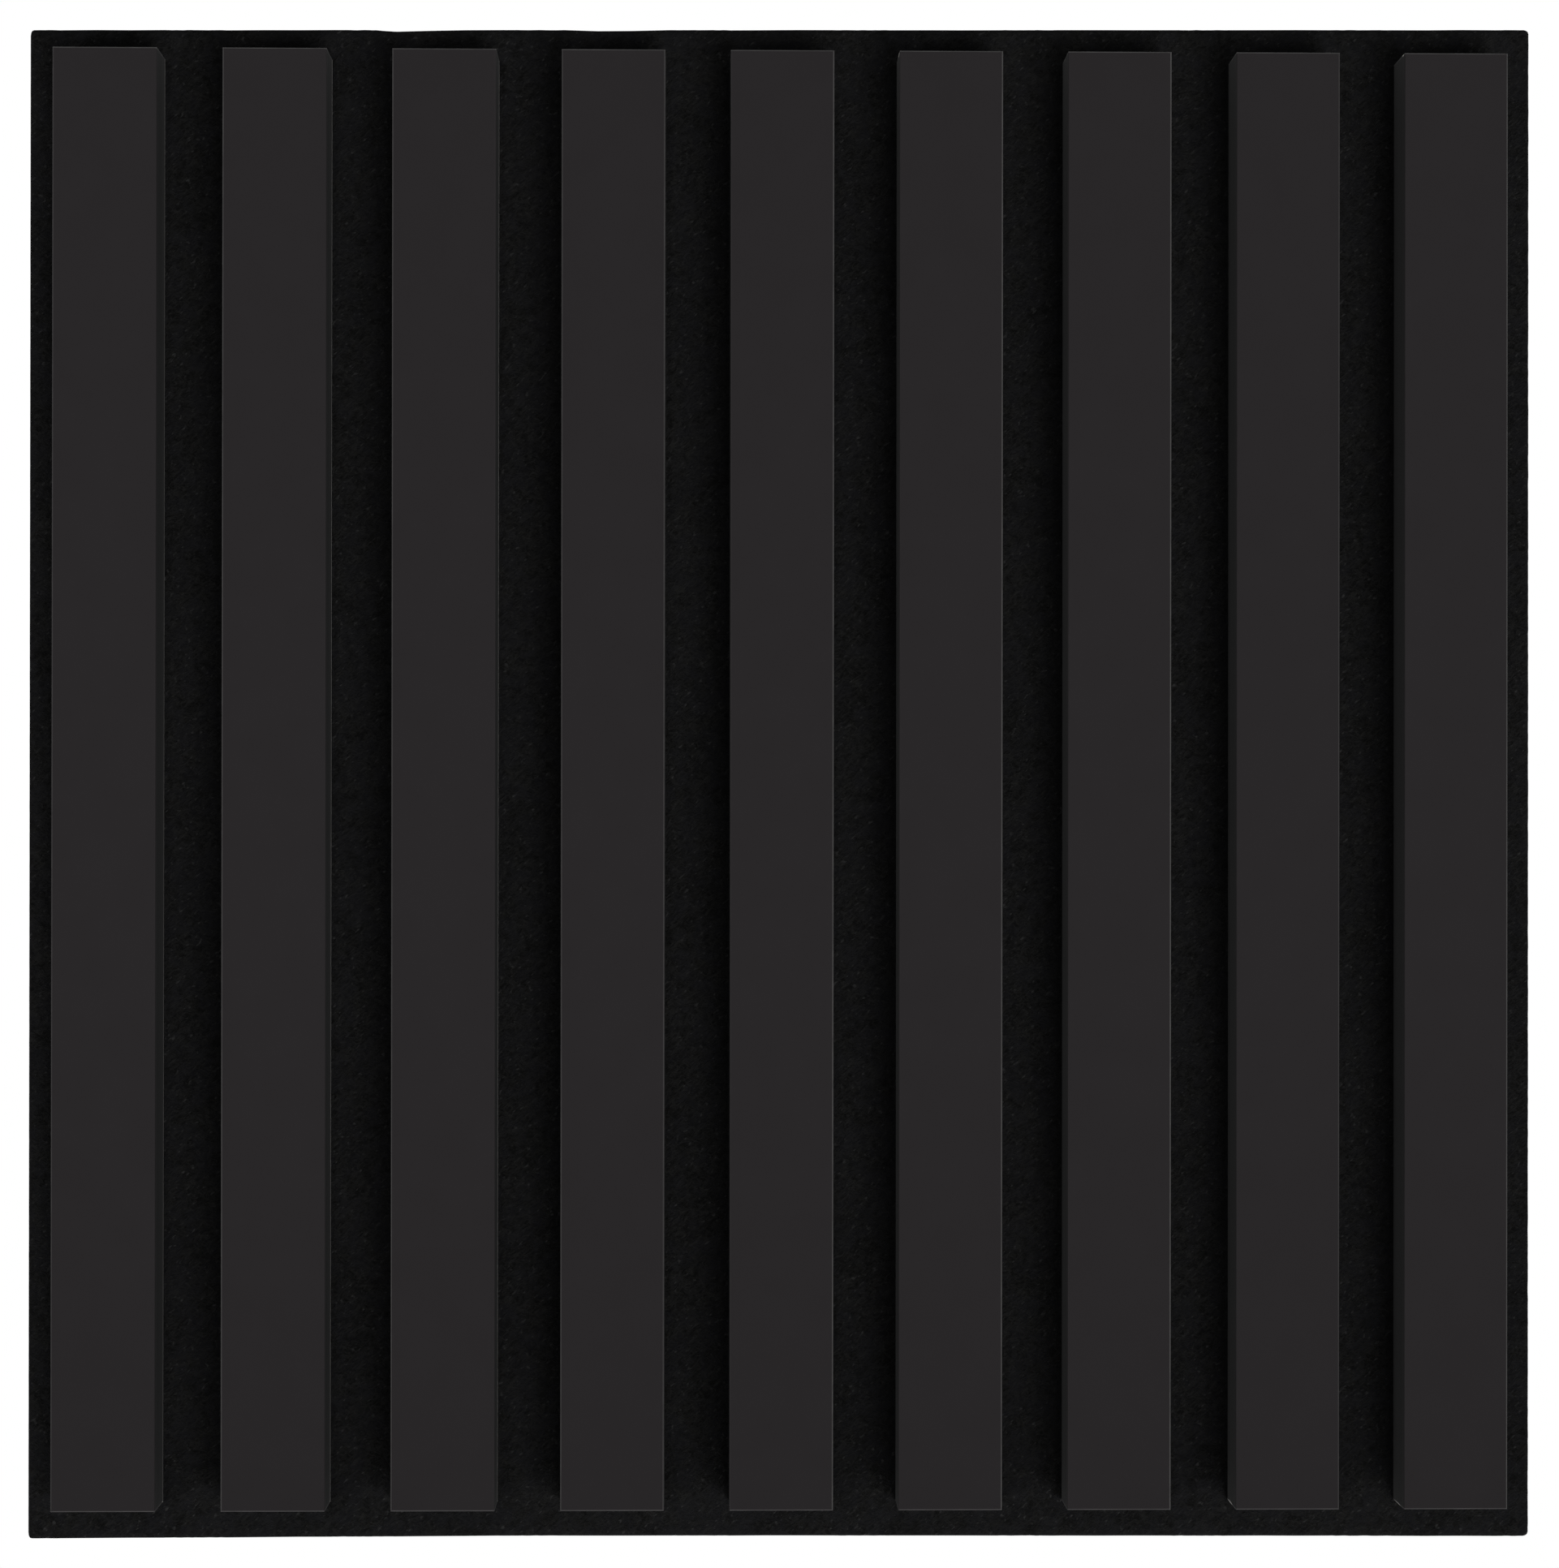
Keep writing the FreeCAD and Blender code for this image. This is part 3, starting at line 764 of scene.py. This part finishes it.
def fibre_base():
    """The parts of the felt's front that show, as plain patches that carry their own limits."""
    lift = -FELT_FRONT - GAP_BULGE

    def rise(left, right):
        """The highest bottom and lowest top of the felt between two places, clear of the edges."""
        heights = [felt_edge_heights(left + (right - left) * step / EDGE_SAMPLES)
                   for step in range(EDGE_SAMPLES + 1)]
        highest_bottom = max(low for low, high in heights)
        lowest_top = min(high for low, high in heights)
        return highest_bottom + FIBRE_INSET, lowest_top - FIBRE_INSET

    patches = []
    start = FELT_LEFT
    for low, high in CORE_BOXES:
        left, right = start + FIBRE_INSET, low.x - FIBRE_INSET
        patches.append((left, right) + rise(left, right))
        left, right = low.x - FIBRE_INSET, high.x + FIBRE_INSET
        bottom, top = rise(left, right)
        patches.append((left, right, bottom, -SLAT_TOP - FIBRE_INSET))
        patches.append((left, right, SLAT_TOP + FIBRE_INSET, top))
        start = high.x
    left, right = start + FIBRE_INSET, FELT_RIGHT - FIBRE_INSET
    patches.append((left, right) + rise(left, right))
    vertices = []
    faces = []
    for left, right, low, high in patches:
        first = len(vertices)
        vertices += [(left, lift, low), (right, lift, low), (right, lift, high), (left, lift, high)]
        faces.append((first, first + 1, first + 2, first + 3))
    mesh = bpy.data.meshes.new("fibre_base")
    mesh.from_pydata(vertices, [], faces)
    for name, corner in (("low_corner", 0), ("high_corner", 2)):
        attribute = mesh.attributes.new(name, "FLOAT_VECTOR", "FACE")
        attribute.data.foreach_set("vector", [part for face in faces for part in vertices[face[corner]]])
    return mesh


def fibre_tree(material):
    """Short crimped fibres scattered over the patches, most of them leaning up to the right."""
    tree, size, output = new_geometry_tree("stray_fibres", {
        "Density": 130000.0, "Length": 1.6 * MM, "Thickness": 0.022 * MM, "Crimp": 0.6 * MM, "Seed": 7,
    })
    points = add_node(tree, "GeometryNodeDistributePointsOnFaces", {
        "Mesh": size.outputs["Geometry"], "Density": size.outputs["Density"], "Seed": size.outputs["Seed"],
    }, distribute_method="RANDOM")
    line = add_node(tree, "GeometryNodeCurvePrimitiveLine", {"Start": (-0.5, 0, 0), "End": (0.5, 0, 0)})
    stepped = add_node(tree, "GeometryNodeResampleCurve", {0: line.outputs[0], "Count": FIBRE_STEPS + 1})
    profile = add_node(tree, "GeometryNodeCurvePrimitiveCircle", {"Resolution": 3, "Radius": 1.0})
    tube = add_node(tree, "GeometryNodeCurveToMesh", {0: stepped.outputs[0], 1: profile.outputs[0],
                                                      "Fill Caps": True})

    def axes_of(attribute):
        if attribute == "position":
            vector = tree.nodes.new("GeometryNodeInputPosition").outputs[0]
        else:
            vector = add_node(tree, "GeometryNodeInputNamedAttribute", {"Name": attribute},
                              data_type="FLOAT_VECTOR").outputs[0]
        return add_node(tree, "ShaderNodeSeparateXYZ", {0: vector}).outputs

    here, low, high = axes_of("position"), axes_of("low_corner"), axes_of("high_corner")
    room = calculate(tree, "MINIMUM", calculate(tree, "SUBTRACT", here[0], low[0]),
                     calculate(tree, "SUBTRACT", high[0], here[0]))
    room = calculate(tree, "MINIMUM", room, calculate(tree, "SUBTRACT", here[2], low[2]))
    room = calculate(tree, "MINIMUM", room, calculate(tree, "SUBTRACT", high[2], here[2]))
    allowed = calculate(tree, "ADD", calculate(tree, "MULTIPLY", room, 2.0), FIBRE_LEAST)

    def draw(low, high, seed):
        drawn = add_node(tree, "FunctionNodeRandomValue", {"Min": low, "Max": high, "Seed": seed},
                         data_type="FLOAT")
        return drawn.outputs[1]

    lean, tilt = draw(*FIBRE_LEAN, 11), draw(-FIBRE_TILT, FIBRE_TILT, 12)
    turn = add_node(tree, "ShaderNodeCombineXYZ", {1: lean, 2: tilt})
    wanted = calculate(tree, "MULTIPLY", draw(*FIBRE_LENGTHS, 13), size.outputs["Length"])
    length = calculate(tree, "MINIMUM", wanted, allowed)
    scale = add_node(tree, "ShaderNodeCombineXYZ", {0: length, 1: size.outputs["Thickness"],
                                                    2: size.outputs["Thickness"]})
    scattered = add_node(tree, "GeometryNodeInstanceOnPoints", {
        "Points": points.outputs["Points"], "Instance": tube.outputs[0], "Rotation": turn.outputs[0],
        "Scale": scale.outputs[0],
    })
    realized = add_node(tree, "GeometryNodeRealizeInstances", {0: scattered.outputs[0]})
    place = tree.nodes.new("GeometryNodeInputPosition").outputs[0]
    wander = add_node(tree, "ShaderNodeTexNoise", {"Vector": place, "Scale": 520.0, "Detail": 1.0})
    centred = add_node(tree, "ShaderNodeVectorMath", {0: wander.outputs["Color"], 1: (0.5, 0.5, 0.5)},
                       operation="SUBTRACT")
    crimped = add_node(tree, "ShaderNodeVectorMath", {0: centred.outputs[0], "Scale": size.outputs["Crimp"]},
                       operation="SCALE")
    flattened = add_node(tree, "ShaderNodeVectorMath", {0: crimped.outputs[0], 1: (1.0, 0.3, 1.0)},
                         operation="MULTIPLY")
    bent = add_node(tree, "GeometryNodeSetPosition", {0: realized.outputs[0], "Offset": flattened.outputs[0]})
    finish_tree(tree, bent.outputs[0], material, output)
    return tree


# Stage, light and camera

def make_camera():
    data = bpy.data.cameras.new("camera")
    data.sensor_width = SENSOR
    data.sensor_fit = "AUTO"
    data.lens = SENSOR * FOCAL_LENGTH_PX / PHOTO_HEIGHT_PX
    data.shift_x = (PHOTO_WIDTH_PX / 2 - AXIS_ACROSS_PX) / PHOTO_HEIGHT_PX
    data.shift_y = (AXIS_DOWN_PX - PHOTO_HEIGHT_PX / 2) / PHOTO_HEIGHT_PX
    camera = bpy.data.objects.new("camera", data)
    turned = (Matrix.Rotation(-LOOK_RIGHT, 4, "Z") @ Matrix.Rotation(math.pi / 2 + LOOK_UP, 4, "X")
              @ Matrix.Rotation(ROLL, 4, "Z"))
    camera.matrix_world = Matrix.Translation(EYE) @ turned
    bpy.context.scene.collection.objects.link(camera)
    bpy.context.scene.camera = camera


def add_lamp(name, direction, distance, width, power):
    data = bpy.data.lights.new(name, "AREA")
    data.shape = "DISK"
    data.size = width
    data.energy = power
    lamp = bpy.data.objects.new(name, data)
    away = Vector(direction).normalized()
    lamp.location = away * distance
    lamp.rotation_mode = "QUATERNION"
    lamp.rotation_quaternion = away.to_track_quat("Z", "Y")
    lamp.visible_camera = False
    lamp.visible_glossy = False     # the sheen of the finishes comes from the pale surroundings
    bpy.context.scene.collection.objects.link(lamp)


SKY_LEVEL = 0.19


def seen_directly(tree):
    """1 where the stage is looked at, straight or by way of gloss or glass, and 0 where it only lights."""
    path = tree.nodes.new("ShaderNodeLightPath")
    seen = calculate(tree, "MAXIMUM", path.outputs["Is Camera Ray"], path.outputs["Is Glossy Ray"])
    return calculate(tree, "MAXIMUM", seen, path.outputs["Is Transmission Ray"])


def make_world():
    world = bpy.data.worlds.new("studio")
    bpy.context.scene.world = world
    world.use_nodes = True
    tree = world.node_tree
    tree.nodes.clear()
    soft = add_node(tree, "ShaderNodeBackground", {"Color": (1, 1, 1, 1), "Strength": SKY_LEVEL})
    white = add_node(tree, "ShaderNodeBackground", {"Color": (1, 1, 1, 1), "Strength": 1.0})
    seen = seen_directly(tree)
    mixed = add_node(tree, "ShaderNodeMixShader", {0: seen, 1: soft.outputs[0], 2: white.outputs[0]})
    output = tree.nodes.new("ShaderNodeOutputWorld")
    tree.links.new(mixed.outputs[0], output.inputs[0])


FLOOR_DROP = 600 * MM
FLOOR_HALF_WIDTH = 1000 * MM
FLOOR_FRONT = 450 * MM
FLOOR_BACK = 1000 * MM
FLOOR_GREY = (0.82, 0.82, 0.82, 1)
FLOOR_PALENESS = 0.42       # added to the floor where it is looked at
FLOOR_FADE = 0.45           # share of the way to its edge from which it pales into the white around it


def make_floor():
    mesh = bpy.data.meshes.new("floor")
    corners = [(-FLOOR_HALF_WIDTH, -FLOOR_FRONT), (FLOOR_HALF_WIDTH, -FLOOR_FRONT),
               (FLOOR_HALF_WIDTH, FLOOR_BACK), (-FLOOR_HALF_WIDTH, FLOOR_BACK)]
    mesh.from_pydata([(x, y, -FLOOR_DROP) for x, y in corners], [], [(0, 1, 2, 3)])
    floor = bpy.data.objects.new("floor", mesh)
    bpy.context.scene.collection.objects.link(floor)
    material, tree, shader, place = new_material("pale_floor", roughness=0.9, specular=0.1)
    shader.inputs["Base Color"].default_value = FLOOR_GREY
    mesh.materials.append(material)
    split = add_node(tree, "ShaderNodeSeparateXYZ", {0: place})
    across, deep = split.outputs[0], split.outputs[1]
    outward = calculate(tree, "MAXIMUM", calculate(tree, "DIVIDE", deep, FLOOR_BACK),
                        calculate(tree, "DIVIDE", deep, -FLOOR_FRONT))
    outward = calculate(tree, "MAXIMUM", outward,
                        calculate(tree, "DIVIDE", calculate(tree, "ABSOLUTE", across), FLOOR_HALF_WIDTH))
    seen = seen_directly(tree)
    fade = calculate(tree, "MULTIPLY", spread(tree, outward, FLOOR_FADE, 0.98), seen)
    pale = add_node(tree, "ShaderNodeEmission", {"Color": (1, 1, 1, 1), "Strength": FLOOR_PALENESS})
    pale = add_node(tree, "ShaderNodeMixShader", {0: seen, 2: pale.outputs[0]})
    lit = add_node(tree, "ShaderNodeAddShader", {0: shader.outputs[0], 1: pale.outputs[0]})
    white = add_node(tree, "ShaderNodeEmission", {"Color": (1, 1, 1, 1), "Strength": 1.0})
    shown = add_node(tree, "ShaderNodeMixShader", {0: fade, 1: lit.outputs[0], 2: white.outputs[0]})
    tree.links.new(shown.outputs[0], tree.nodes["Material Output"].inputs["Surface"])


# Putting it together

laminate = make_laminate()
fibreboard = make_fibreboard()
felt_cloth = make_felt_material()
stray_fibre = make_fibre_material()
wire = make_staple_wire()

for slat in SLATS:
    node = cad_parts["slat_core_%d" % slat]
    node.data.materials.clear()
    node.data.materials.append(fibreboard)
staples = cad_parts["staples"]
staples.data.materials.clear()
staples.data.materials.append(wire)

make_facings(laminate)
link_piece("felt", felt_mesh(), felt_cloth, "felt", "felt_backing")
fibres = run_tree(fibre_tree(stray_fibre), fibre_base(), {}, "felt_fibres")
link_piece("felt_fibres", fibres, stray_fibre, "felt")

add_lamp("key", (0.52, -1.0, -0.68), distance=8.0, width=5.6, power=420.0)
add_lamp("left_fill", (-1.3, -1.0, -0.7), distance=4.0, width=1.6, power=36.0)
add_lamp("back_fill", (-0.5, 1.0, 0.5), distance=3.0, width=2.0, power=60.0)
make_world()
make_floor()
make_camera()
bpy.context.scene.view_settings.view_transform = "Standard"
